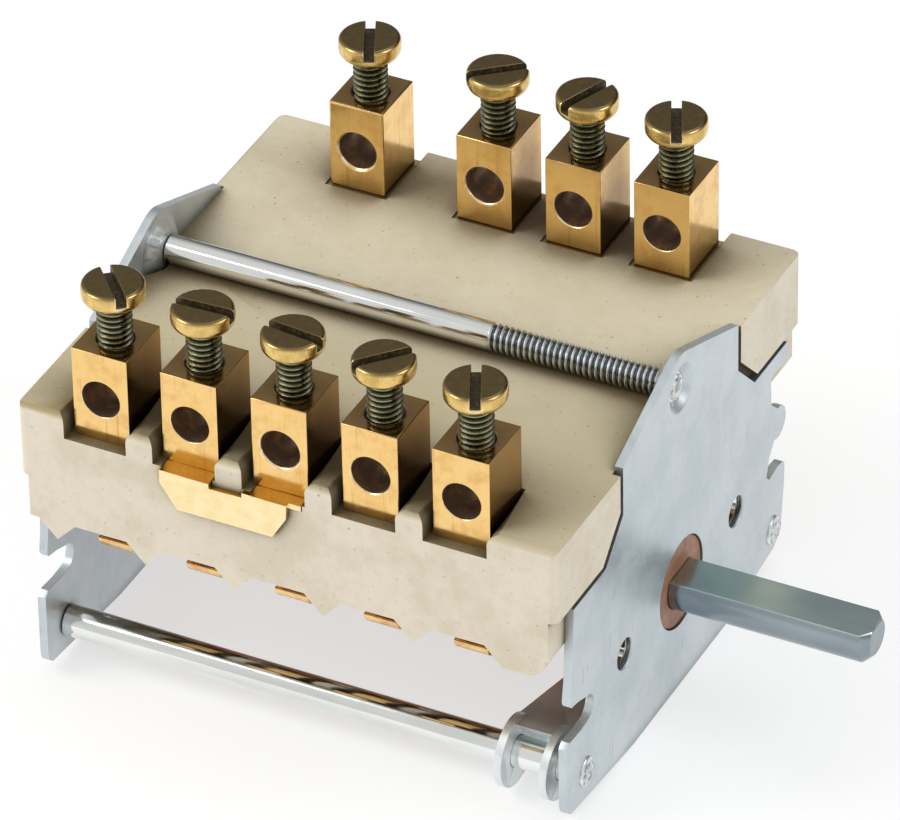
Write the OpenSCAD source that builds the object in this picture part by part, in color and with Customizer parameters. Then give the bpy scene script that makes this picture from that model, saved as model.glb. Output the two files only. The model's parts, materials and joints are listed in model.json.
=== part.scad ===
// Rotary cam switch for panel mounting: a one-piece ceramic body between two steel
// end plates, nine brass screw terminals on top, and a cam shaft below it.
// The origin is on the spindle axis, on the outer face of the front plate.
// +X points out along the spindle, +Y to the rear terminal row, +Z up.

/* [Frame] */
// Distance over the two end plates
body_len = 63.4; // [63:0.1:64]
// Width of the ceramic body
body_w = 61; // [60.6:0.1:62]
// Height of the ceramic's top face over the spindle axis
top_z = 24; // [23.8:0.1:24.4]
// Height of the contact chambers' open lower edge
skirt_z = 9.8; // [9.6:0.1:10]
// Sheet thickness of the end plates
plate_t = 1; // [0.8:0.1:1.1]
// Half width of an end plate
plate_hw = 27; // [26.5:0.1:27.4]
// Height of the plates' flat feet, below the spindle axis
foot_z = -13.5; // [-14:0.1:-13.5]

/* [Fixing and bearings] */
// Distance between the two M4 fixing holes
fixing_pitch = 28; // [27:0.5:29]
// Radius of the tapped fixing holes
fixing_r = 1.8; // [1.6:0.1:2]
// Radius of the cam barrel's journals
journal_r = 5.35; // [5.2:0.05:5.4]
// Running clearance on the radius of a turning or sliding fit
running = 0.06; // [0.04:0.01:0.08]

/* [Tie rods] */
// Radius of the top tie rod
top_rod_r = 1.6; // [1.5:0.05:1.7]
// Radius of the two lower tie rods
low_rod_r = 1.8; // [1.7:0.05:1.9]
// Distance of a lower rod from the middle plane
low_rod_y = 23.65; // [23.5:0.05:23.8]
// Height of the lower rods
low_rod_z = -8.9; // [-9:0.05:-8.8]
// Height of the rods' riveted heads
rivet_h = 0.35; // [0.3:0.05:0.5]

/* [Spindle] */
// Diameter of the spindle
spindle_d = 6; // [5.9:0.1:6]
// Thickness left under the spindle's flat
spindle_flat = 4.6; // [4.5:0.1:4.8]
// Length of the spindle in front of the plate
spindle_len = 23; // [15:1:30]

/* [Terminals] */
// Spacing of the contact chambers along the switch
pitch = 10.6; // [10.5:0.05:10.65]
// Middle of the chamber nearest the front plate
last_x = -11.5; // [-11.6:0.05:-11.4]
// Size of a terminal block along X
block_x = 6.6; // [6.4:0.1:6.8]
// Size of a terminal block along Y
block_y = 7.5; // [7.3:0.1:7.6]
// Height of a terminal block
block_h = 11.1; // [11:0.1:11.4]
// Radius of the wire hole through a block
wire_r = 2.25; // [2:0.05:2.4]
// Height of the wire hole's axis in the block
wire_z = 5.3; // [5.2:0.1:5.5]
// Crest radius of the M4 clamp screws
screw_r = 1.93; // [1.9:0.01:1.94]
// Gap between a raised screw's head and its block
screw_lift = 4.7; // [4.5:0.1:4.8]

/* [Cams] */
// Radius of the cam lobes
lobe_r = 8.8; // [8.5:0.1:8.8]
// Radius between the lobes
dwell_r = 7.2; // [6.9:0.1:7.5]
// Rim radius of the detent wheel
star_r = 8.5; // [8.3:0.1:8.5]
// Radius of the detent roller
roller_r = 1.7; // [1.5:0.1:1.7]

/* [Hidden] */
$fn = 48;
eps = 0.02;
gap = 0.3;                       // clearance between parts that move past each other

chambers = 5;
chamber_w = 8.4;
roof_z = 17.6;
wall_t = 2.8;                    // front and rear walls of the ceramic
tooth_h = 2.3;
tooth_w = 4.4;
notch = 14.3;                    // the plates' corner notches start this far out and up
notch_cut = 4.3;                 // size of the bevel in a notch's inner corner
boss_gap = 0.7;                  // the ceramic's end bosses stay this far out of the notches
foot_x = -6.2;                   // last partition of the ceramic

front_y = -29.1;                 // front faces of the front blocks
front_z = 21.2;                  // floor under the front blocks
rear_y = 20.5;                   // front faces of the rear blocks
rear_z = 23.8;                   // floor under the rear blocks
pocket_side = 0.6;
tab_t = 0.7;                     // sheet of the contact strips and the jumper
rear_x = [-48.8, -33.3, -22.6, -12];
rear_shift = -0.5;               // rear strips stand this far from the chambers' middles

head_r = 3.45;
head_h = 2.4;
head_cut = 0.45;                 // bevel round a screw head
slot_w = 1.1;
slot_d = 1.2;
thread_pitch = 0.7;
thread_h = 0.4;
shank_len = block_h - wire_z - wire_r + screw_lift - 0.15;

rod_z = top_z + top_rod_r;
tenon_step = 0.3;                // the rods are thinner where they pass through the plates
boss_r = 4;                      // the plates are drawn inward to a boss round the top rod
boss_h = 1.2;
dish_r = 2.9;                    // and dished outside it
dish_deep = 0.9;
loop_y = -25.8;                  // middle of a contact arm's loop
loop_z = 7;
loop_r = 1.8;
leaf_t = 0.5;
arm_w = 4;
arm_z = lobe_r + gap + 1.5;      // underside of a contact arm
rivet_y = 5;
rivet_r = 1.7;

star_x = -7.6;
star_w = 3.4;
cheek_x = [-9, -3.7];            // left faces of the lever's cheeks
cheek_t = 0.9;
lever_r = 4.1;
roller_off = star_r + 0.1 + roller_r;
roller_a = 265.8;                // square to the line from the lever's pivot
roller_y = roller_off * cos(roller_a);
roller_z = roller_off * sin(roller_a);
tail_y = 7.6;
tail_z = -10.5;
pin_r = 0.9;
spring_x = -3.25;
spring_r = 1.6;
spring_wire = 0.4;
hook_y = 22.7;
hook_z = -0.75;

strap_tab = 5.9;                 // width of the jumper's tabs
strap_left = -46.1;
strap_right = -31;
strap_low = 16.6;

fixed_nodes = ["ceramic_base", "front_plate", "rear_plate", "top_tie_rod", "front_tie_rod",
               "rear_tie_rod", "jumper_strap", "fixed_contacts", "detent_spring"];
moving_nodes = ["spindle", "cam_barrel", "detent_lever", "roller_pin", "detent_roller"];

// Middle of chamber i, counted from 1 at the rear plate
function chamber_x(i) = last_x - pitch * (chambers - i);

// Points on an arc in the YZ plane
function arc(cy, cz, r, from, to, steps = 10) =
    [for (k = [0:steps]) let (a = from + (to - from) * k / steps) [cy + r * cos(a), cz + r * sin(a)]];

// Unit normal of a path at point k
function turned(v) = [-v[1], v[0]] / norm(v);
function path_normal(p, k) =
    let (a = p[max(k - 1, 0)], b = p[min(k + 1, len(p) - 1)]) turned(b - a);

// Outline of a strip of thickness t along an open path
function ribbon(p, t) = concat(
    [for (k = [0:len(p) - 1]) p[k] + path_normal(p, k) * t / 2],
    [for (k = [len(p) - 1:-1:0]) p[k] - path_normal(p, k) * t / 2]);

// Extrudes a YZ outline from x = x0 to x0 + w
module across(x0, w) {
    translate([x0, 0, 0]) rotate([90, 0, 90]) linear_extrude(w) children();
}

// A bar along X
module bar(x0, x1, y, z, r) {
    translate([x0, y, z]) rotate([0, 90, 0]) cylinder(r = r, h = x1 - x0);
}

// ---------------------------------------------------------------- ceramic

// The parts of the ceramic's ends that fill the plates' corner notches
module end_boss_outline(side) {
    inner = notch + boss_gap;
    polygon([
        [side * inner, top_z + 1],
        [side * inner, inner + notch_cut],
        [side * (inner + notch_cut), inner],
        [side * (body_w / 2 + 1), inner],
        [side * (body_w / 2 + 1), top_z + 1]]);
}

module plate_recess(x0, w) {
    across(x0, w) difference() {
        translate([-body_w / 2 - 1, foot_z]) square([body_w + 2, top_z - foot_z + 1]);
        end_boss_outline(1);
        end_boss_outline(-1);
    }
}

// One triangular tooth under each partition, at the front or rear wall
module tooth(x, y0) {
    translate([x, y0 + wall_t, skirt_z]) rotate([90, 0, 0]) linear_extrude(wall_t)
        polygon([[-tooth_w / 2, 0.1], [-tooth_w / 2, 0], [0, -tooth_h], [tooth_w / 2, 0], [tooth_w / 2, 0.1]]);
}

// The foot next to the front plate, with a quarter round outer corner
module corner_foot(y0) {
    translate([0, y0 + wall_t, 0]) rotate([90, 0, 0]) linear_extrude(wall_t) {
        polygon([[-8.4, skirt_z + 0.1], [-8.4, skirt_z], [-6.4, skirt_z - tooth_h],
                 [-3.6, skirt_z - tooth_h], [-3.6, skirt_z + 0.1]]);
        intersection() {
            translate([-3.7, skirt_z + 0.1]) circle(r = tooth_h + 0.1);
            translate([-3.7, skirt_z - tooth_h]) square([tooth_h + 0.1, tooth_h + 0.1]);
        }
    }
}

module front_pocket(x) {
    translate([x - block_x / 2 - pocket_side, -body_w / 2 - 1, front_z])
        cube([block_x + 1.4 * pocket_side, 1 + body_w / 2 + front_y + block_y + 0.4, top_z]);
    translate([x - block_x / 2 + 0.2, front_y + 0.9, front_z - tab_t])
        cube([block_x - 0.4, 5.2, top_z]);
    translate([x - arm_w / 2 - 0.1, -27.4, roof_z - 1]) cube([arm_w + 0.2, 0.9, top_z]);
}

module rear_pocket(x, strip_w) {
    translate([x - block_x / 2 - pocket_side, rear_y - 0.3, rear_z])
        cube([block_x + 1.6 * pocket_side, body_w / 2 - rear_y + 2, top_z]);
    translate([x - block_x / 2 + 0.2, rear_y + 0.8, rear_z - tab_t])
        cube([block_x - 0.4, 6, top_z]);
    translate([x - block_x / 2 + 0.2, body_w / 2 - 1.6, rear_z - 1.3])
        cube([block_x, 3, top_z]);
    translate([x - strip_w / 2 - 0.1, 25.9, roof_z - 1]) cube([strip_w + 0.2, 0.9, top_z]);
}

module ceramic_base() {
    color([0.83, 0.78, 0.66]) difference() {
        union() {
            translate([-body_len, -body_w / 2, skirt_z]) cube([body_len, body_w, top_z - skirt_z]);
            for (y0 = [-body_w / 2, body_w / 2 - wall_t]) {
                for (i = [0:chambers - 1]) tooth(foot_x - pitch * (chambers - i), y0);
                corner_foot(y0);
            }
        }
        plate_recess(-plate_t, plate_t + 1);
        plate_recess(-body_len - 1, plate_t + 1);
        // room for the plates' bosses
        rod_cone(-plate_t + 0.1, -1, boss_r + gap, top_rod_r + 0.5 + gap, boss_h + gap + 0.1);
        rod_cone(plate_t - body_len - 0.1, 1, boss_r + gap, top_rod_r + 0.5 + gap, boss_h + gap + 0.1);
        for (i = [1:chambers])
            translate([chamber_x(i) - chamber_w / 2, -body_w / 2 + wall_t, 0])
                cube([chamber_w, body_w - 2 * wall_t, roof_z]);
        for (i = [1:chambers]) front_pocket(chamber_x(i));
        for (x = rear_x) rear_pocket(x, arm_w);
        // way through the first partition for the double rear strip
        translate([rear_x[0] - 2, 21.6, roof_z - 1.2]) cube([4, 5.2, 1.2]);
        // the jumper's tabs pass through the ledges of its two pockets
        for (x = [chamber_x(2), chamber_x(3)])
            translate([x - block_x / 2 + 0.4, -body_w / 2 - 1, front_z - tab_t])
                cube([strap_tab + 0.2, 1 + body_w / 2 - 28.1, top_z]);
    }
}

// ---------------------------------------------------------------- plates and rods

// A rounded apex over the top rod and square notches for the ceramic above, and below
// them two ears for the tie rods, with a hook slot beside each
plate_outline = concat(
    [[-26.3, notch], [-notch - notch_cut, notch], [-notch, notch + notch_cut], [-notch, 24.6]],
    arc(0, 25.9, 4, 111.3, 68.7, 8),
    [[notch, 24.6], [notch, notch + notch_cut], [notch + notch_cut, notch], [plate_hw, notch]],
    [[plate_hw, 12], [23.3, 12.2], [22.8, 11.6], [23, 8.4]],
    arc(24.8, 4.9, 2, 95, -120),
    [[22.5, 1.6], [21.8, -0.6], [22.6, -1.4], [24.8, -1]],
    arc(25.7, -2, 0.9, 95, -10, 5),
    [[26.4, -4.9], [25.6, -10.3], [23.8, -11.5], [19.3, -12.1], [12, foot_z], [-12, foot_z], [-19.6, -12.8]],
    arc(-26.7, -10.6, 1.6, 250, 180, 5),
    [[-28.3, -3], [-27.6, -2.4], [-24.9, -2.6]],
    arc(-23.4, -0.8, 1.7, 265, 450, 8),
    [[-25.5, 1.6], [-27.1, 1.9], [-27.4, 2.5], [-plate_hw, 5]]);

// A cone about the top rod's axis, from x = x0 towards side
module rod_cone(x0, side, r1, r2, h) {
    translate([x0, 0, rod_z]) rotate([0, 90 * side, 0]) cylinder(r1 = r1, r2 = r2, h = h);
}

module end_plate(x0, inward) {
    inner_face = x0 + (1 + inward) / 2 * plate_t;
    outer_face = x0 + (1 - inward) / 2 * plate_t;
    difference() {
        union() {
            across(x0, plate_t) polygon(plate_outline);
            rod_cone(inner_face - 0.1 * inward, inward, boss_r, top_rod_r + 0.5, boss_h + 0.1);
        }
        rod_cone(outer_face - 0.1 * inward, inward, dish_r + 0.1, dish_r - 1, dish_deep + 0.1);
        bar(x0 - 1, x0 + plate_t + 1, 0, 0, journal_r + running);
        bar(x0 - 2, x0 + plate_t + 2, 0, rod_z, top_rod_r - tenon_step);
        for (s = [-1, 1]) {
            bar(x0 - 1, x0 + plate_t + 1, s * low_rod_y, low_rod_z, low_rod_r - tenon_step);
            bar(x0 - 1, x0 + plate_t + 1, s * fixing_pitch / 2, 0, fixing_r);
        }
    }
}

module front_plate() {
    color([0.72, 0.76, 0.8]) end_plate(-plate_t, -1);
}

module rear_plate() {
    color([0.72, 0.76, 0.8]) end_plate(-body_len, 1);
}

// A rod held between the plates, its tenons riveted over outside them. Its shoulders lie
// set_in from the plates' outer faces, and the rivets start sink below those faces.
module tie_rod(y, z, r, head, set_in, sink) {
    bar(set_in - body_len, -set_in, y, z, r);
    bar(sink - body_len - rivet_h / 2, rivet_h / 2 - sink, y, z, r - tenon_step);
    bar(-sink, rivet_h - sink, y, z, head);
    bar(sink - body_len - rivet_h, sink - body_len, y, z, head);
}

module top_tie_rod() {
    threaded = 20;
    color([0.8, 0.82, 0.84]) difference() {
        tie_rod(0, rod_z, top_rod_r, 1.8, plate_t + boss_h, dish_deep);
        translate([-3 - threaded, 0, rod_z]) rotate([0, 90, 0])
            for (k = [0:floor(threaded / thread_pitch)])
                translate([0, 0, k * thread_pitch]) rotate_extrude()
                    polygon([[top_rod_r - 0.25, thread_pitch / 2], [top_rod_r + 0.1, 0.05],
                             [top_rod_r + 0.1, thread_pitch - 0.05]]);
    }
}

module low_tie_rod(side) {
    color([0.8, 0.82, 0.84]) tie_rod(side * low_rod_y, low_rod_z, low_rod_r, 1.75, plate_t, 0);
}

// ---------------------------------------------------------------- terminals

module terminal_block(x, y, z) {
    color([0.85, 0.6, 0.25]) translate([x, y, z]) difference() {
        translate([-block_x / 2, 0, 0]) cube([block_x, block_y, block_h]);
        translate([0, -1, wire_z]) rotate([-90, 0, 0]) cylinder(r = wire_r, h = block_y + 2);
        translate([0, block_y / 2, wire_z]) cylinder(r = screw_r + running, h = block_h);
    }
}

// One ridge of a screw thread, shown as a ring
module thread_ridge() {
    rotate_extrude() polygon([[0, 0], [screw_r - thread_h, 0], [screw_r, thread_pitch / 2 - 0.08],
                              [screw_r, thread_pitch / 2 + 0.08], [screw_r - thread_h, thread_pitch],
                              [0, thread_pitch]]);
}

// A slotted cheese head screw, raised clear of its block
module clamp_screw(x, y, z, slot_a) {
    ridges = floor(shank_len / thread_pitch) - 1;
    color([0.6, 0.5, 0.25]) translate([x, y, z]) {
        for (k = [0:ridges - 1]) translate([0, 0, -shank_len + k * thread_pitch]) thread_ridge();
        translate([0, 0, -shank_len + ridges * thread_pitch])
            cylinder(r = screw_r - thread_h, h = shank_len - ridges * thread_pitch);
        difference() {
            union() {
                cylinder(r = head_r, h = head_h - head_cut);
                translate([0, 0, head_h - head_cut])
                    cylinder(r1 = head_r, r2 = head_r - head_cut, h = head_cut);
            }
            rotate(slot_a) translate([-head_r - 1, -slot_w / 2, head_h - slot_d])
                cube([2 * head_r + 2, slot_w, slot_d + 1]);
        }
    }
}

// How far each screw's slot is turned from +X
front_slots = [133, 3, -6, 48, 115];
rear_slots = [115, 40, 69, 115];

module front_screw(i) {
    clamp_screw(chamber_x(i), front_y + block_y / 2, front_z + block_h + screw_lift, front_slots[i - 1]);
}

module rear_screw(i) {
    clamp_screw(rear_x[i - 1], rear_y + block_y / 2, rear_z + block_h + screw_lift, rear_slots[i - 1]);
}

// Bridge between two front terminals: two tabs and an apron over the ceramic's front face
module jumper_strap() {
    color([0.93, 0.82, 0.5]) {
        for (x = [chamber_x(2), chamber_x(3)])
            translate([x - block_x / 2 + 0.5, -body_w / 2 - 0.1, front_z - tab_t])
                cube([strap_tab, body_w / 2 - 28.3, tab_t]);
        translate([0, -body_w / 2, 0]) rotate([90, 0, 0]) linear_extrude(tab_t)
            polygon([[strap_left, front_z], [-40.2, front_z], [-40.2, front_z - 0.6],
                     [-36.3, front_z - 0.6], [-36.3, front_z], [strap_right, front_z],
                     [strap_right - 0.1, 19.4], [-32.8, strap_low], [-44.1, strap_low],
                     [strap_left, 19.6]]);
    }
}

// ---------------------------------------------------------------- contacts

// From under a front block down the inside of the front wall
module front_strip(i) {
    x = chamber_x(i);
    color([0.8, 0.62, 0.28]) {
        translate([x - block_x / 2 + 0.3, front_y + 1.3, front_z - tab_t])
            cube([block_x - 0.6, 4.4, tab_t - eps]);
        translate([x - arm_w / 2, -27.3, loop_z + 0.15]) cube([arm_w, tab_t, front_z - loop_z - 0.4]);
    }
}

// From under a rear block down into its chamber, then along the chamber's roof
module rear_strip(i) {
    x = rear_x[i - 1];
    strip_z = roof_z - 0.2 - tab_t;
    color([0.8, 0.62, 0.28]) {
        translate([x - block_x / 2 + 0.3, rear_y + 1, rear_z - tab_t])
            cube([block_x - 0.6, 5.6, tab_t - eps]);
        translate([x - arm_w / 2, 26, strip_z]) cube([arm_w, tab_t, rear_z - strip_z - eps]);
        if (i == 1) {
            translate([chamber_x(1) - arm_w / 2, 22, strip_z])
                cube([pitch + arm_w, 4.7, tab_t]);
            for (k = [1, 2]) rear_finger(chamber_x(k), strip_z);
        } else {
            rear_finger(chamber_x(i + 1) + rear_shift / 2, strip_z);
        }
    }
}

module rear_finger(x, z) {
    translate([x - 1.8, rivet_y - 2.6, z]) cube([3.6, 21.7 - rivet_y + 2.6 + 5, tab_t]);
}

module rivet_button(x, y, z, h) {
    translate([x, y, z]) cylinder(r = rivet_r, h = h);
}

module fixed_contacts() {
    strip_z = roof_z - 0.2 - tab_t;
    color([0.86, 0.87, 0.88]) for (i = [1:chambers])
        rivet_button(chamber_x(i), rivet_y, strip_z - 1.8 - eps, 1.8);
}

// Leaf spring: a loop below the front wall, then an arm over the cams with a nose on it
module contact_arm(i) {
    mid_r = loop_r - leaf_t / 2;
    rise = arc(loop_y, loop_z, mid_r, 183, 360, 12);
    bend_r = 1.4;
    arm_mid = arm_z + leaf_t / 2;
    bend = arc(loop_y + mid_r + bend_r, arm_mid - bend_r, bend_r, 180, 90, 5);
    nose = [[-2.4, arm_mid], [-0.6, lobe_r + gap + 0.35], [0.6, lobe_r + gap + 0.35], [2.4, arm_mid]];
    tip = [[rivet_y + 2.2, arm_mid]];
    color([0.86, 0.66, 0.3]) across(chamber_x(i) - arm_w / 2, arm_w)
        polygon(ribbon(concat(rise, bend, nose, tip), leaf_t));
}

module moving_contact(i) {
    color([0.86, 0.87, 0.88])
        rivet_button(chamber_x(i), rivet_y, arm_z + leaf_t + eps, 1.5);
}

// ---------------------------------------------------------------- camshaft

module d_outline(r, flat_h) {
    intersection() {
        circle(r = r);
        translate([-r, -r]) square([2 * r, r + flat_h]);
    }
}

module spindle() {
    r = spindle_d / 2;
    color([0.7, 0.74, 0.73]) difference() {
        across(-20, spindle_len + 20) d_outline(r, spindle_flat - r);
        // bevelled tip
        translate([spindle_len - 1, 0, 0]) rotate([0, 90, 0]) difference() {
            cylinder(r = r + 2, h = 2);
            translate([0, 0, -1]) cylinder(r1 = r + 1, r2 = r - 1, h = 2);
        }
    }
}

// One cam: a dwell circle with lobes on the listed quarter turns
module cam(x, lobes) {
    across(x, 3) union() {
        circle(r = dwell_r);
        for (q = lobes) rotate(q * 90) intersection() {
            circle(r = lobe_r);
            polygon([[0, 0], [lobe_r, -lobe_r * 0.55], [2 * lobe_r, 0], [lobe_r, lobe_r * 0.55]]);
        }
    }
}

lobe_plan = [[0, 2], [1, 3], [1], [0, 1], [2, 3]];

module detent_wheel() {
    across(star_x, star_w) difference() {
        circle(r = star_r);
        for (q = [0:3]) rotate(roller_a + q * 90) translate([star_r + 1, 0]) circle(r = roller_r + 0.15);
    }
}

module cam_barrel() {
    core_r = 6.2;
    color([0.55, 0.3, 0.18]) difference() {
        union() {
            bar(-body_len + 0.2, -0.2, 0, 0, journal_r);
            bar(-body_len + plate_t + gap, -plate_t - gap, 0, 0, core_r);
            for (i = [1:chambers]) cam(chamber_x(i) - 1.5, lobe_plan[i - 1]);
            detent_wheel();
        }
        across(-20 - gap, 21) d_outline(spindle_d / 2 + 0.03, spindle_flat - spindle_d / 2 + 0.03);
    }
}

// ---------------------------------------------------------------- detent

module cheek_outline() {
    translate([-low_rod_y, low_rod_z]) circle(r = lever_r);
    polygon([[-low_rod_y - 0.6, low_rod_z + lever_r - 0.1], [-10.7, -8.4], [-4, -8.9],
             [tail_y, tail_z + 1.8], [tail_y, tail_z - 1.8], [roller_y, roller_z - 2.2],
             [-low_rod_y, low_rod_z - lever_r + 0.1]]);
    translate([tail_y, tail_z]) circle(r = 1.8);
}

// A channel of folded sheet: two cheeks and two webs over them
module detent_lever() {
    lever_w = cheek_x[1] + cheek_t - cheek_x[0];
    color([0.68, 0.71, 0.73]) difference() {
        union() {
            for (x = cheek_x) across(x, cheek_t) cheek_outline();
            across(cheek_x[0], lever_w)
                polygon([[-low_rod_y - 0.6, low_rod_z + lever_r - 0.1], [-10.7, -8.4], [-4.2, -8.88],
                         [-4.2, -8.88 - cheek_t], [-10.8, -8.4 - cheek_t],
                         [-low_rod_y + 0.1, low_rod_z + lever_r - 1.25]]);
            across(cheek_x[0], lever_w)
                polygon([[5, -8.75], [tail_y, -8.72], [tail_y, -9.6], [5, -9.6]]);
        }
        bar(cheek_x[0] - 1, 0, -low_rod_y, low_rod_z, low_rod_r + running);
        bar(cheek_x[0] - 1, 0, roller_y, roller_z, pin_r);
        bar(cheek_x[1] - 1, 0, tail_y + 0.1, tail_z + 0.35, 0.95);
    }
}

module roller_pin() {
    color([0.8, 0.82, 0.84])
        bar(cheek_x[0] - 0.3, cheek_x[1] + cheek_t + 0.3, roller_y, roller_z, pin_r);
}

module detent_roller() {
    color([0.78, 0.8, 0.82]) difference() {
        bar(cheek_x[0] + cheek_t + 0.2, cheek_x[1] - 0.2, roller_y, roller_z, roller_r);
        bar(cheek_x[0], cheek_x[1] + 1, roller_y, roller_z, pin_r + running);
    }
}

// Tension spring from the lever's tail to the plate's hook slot, its coil shown as a sleeve
module detent_spring() {
    run = [hook_y - tail_y, hook_z - tail_z];
    span = norm(run);
    tilt = atan2(run[1], run[0]);
    coil_from = 4.2;
    coil_to = span - 1.6;
    color([0.75, 0.77, 0.78]) {
        translate([spring_x, tail_y, tail_z]) rotate([tilt, 0, 0]) rotate([-90, 0, 0]) {
            translate([0, 0, coil_from]) difference() {
                cylinder(r = spring_r, h = coil_to - coil_from);
                translate([0, 0, -1]) cylinder(r = spring_r - 2 * spring_wire, h = span);
            }
            translate([1, 0, 0]) cylinder(r = spring_wire, h = coil_from + 0.2);
            translate([1.1, 0, coil_to - 0.2]) cylinder(r = spring_wire, h = span - coil_to + 0.2);
        }
        bar(cheek_x[1] - 0.5, spring_x + 1.3, tail_y, tail_z, spring_wire);
        bar(spring_x + 0.8, 0.4, hook_y, hook_z, spring_wire);
    }
}

// ---------------------------------------------------------------- nodes

ceramic_base();
front_plate();
rear_plate();
top_tie_rod();
low_tie_rod(-1);  // front_tie_rod
low_tie_rod(1);  // rear_tie_rod
jumper_strap();
fixed_contacts();
detent_spring();
spindle();
cam_barrel();
detent_lever();
roller_pin();
detent_roller();
for (i = [1:5]) {
    terminal_block(chamber_x(i), front_y, front_z);
    front_screw(i);
    front_strip(i);
    contact_arm(i);
    moving_contact(i);
}
for (i = [1:4]) {
    terminal_block(rear_x[i - 1], rear_y, rear_z);
    rear_screw(i);
    rear_strip(i);
}
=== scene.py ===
import json
import math

import bmesh
import bpy
from mathutils import Matrix, Vector


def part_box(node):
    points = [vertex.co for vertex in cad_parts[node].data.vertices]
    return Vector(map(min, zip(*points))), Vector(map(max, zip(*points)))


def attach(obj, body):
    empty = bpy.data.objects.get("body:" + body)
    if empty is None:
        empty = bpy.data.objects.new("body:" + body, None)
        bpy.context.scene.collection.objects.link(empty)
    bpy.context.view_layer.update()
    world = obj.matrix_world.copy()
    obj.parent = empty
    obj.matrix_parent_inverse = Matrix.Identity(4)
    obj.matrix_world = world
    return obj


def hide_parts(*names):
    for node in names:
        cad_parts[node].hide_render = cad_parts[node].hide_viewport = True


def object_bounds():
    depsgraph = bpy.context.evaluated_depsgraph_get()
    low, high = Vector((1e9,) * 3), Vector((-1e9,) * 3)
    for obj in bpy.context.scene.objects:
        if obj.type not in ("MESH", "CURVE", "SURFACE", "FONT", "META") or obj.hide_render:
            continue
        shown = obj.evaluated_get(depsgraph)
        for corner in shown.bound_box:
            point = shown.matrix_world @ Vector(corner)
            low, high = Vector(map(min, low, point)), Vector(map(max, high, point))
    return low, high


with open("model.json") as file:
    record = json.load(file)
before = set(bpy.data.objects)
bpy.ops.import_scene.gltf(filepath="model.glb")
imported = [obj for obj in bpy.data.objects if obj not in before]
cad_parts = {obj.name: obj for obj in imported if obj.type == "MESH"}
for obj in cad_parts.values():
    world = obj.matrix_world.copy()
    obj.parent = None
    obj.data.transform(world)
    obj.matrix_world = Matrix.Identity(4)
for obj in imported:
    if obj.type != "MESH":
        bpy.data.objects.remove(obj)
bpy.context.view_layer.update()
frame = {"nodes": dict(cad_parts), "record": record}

MM = 0.001
BODY_OF = {n: b for b, nodes in frame["record"]["behaviour"]["bodies"].items() for n in nodes}

FRONT_ROW = range(1, 6)
REAR_ROW = range(1, 5)

# How far each clamp screw's slot is turned from +X, in degrees
SLOT_ANGLES = {"front": [133, 3, -6, 48, 115], "rear": [115, 40, 69, 115]}


# ---------------------------------------------------------------- node materials

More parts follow.
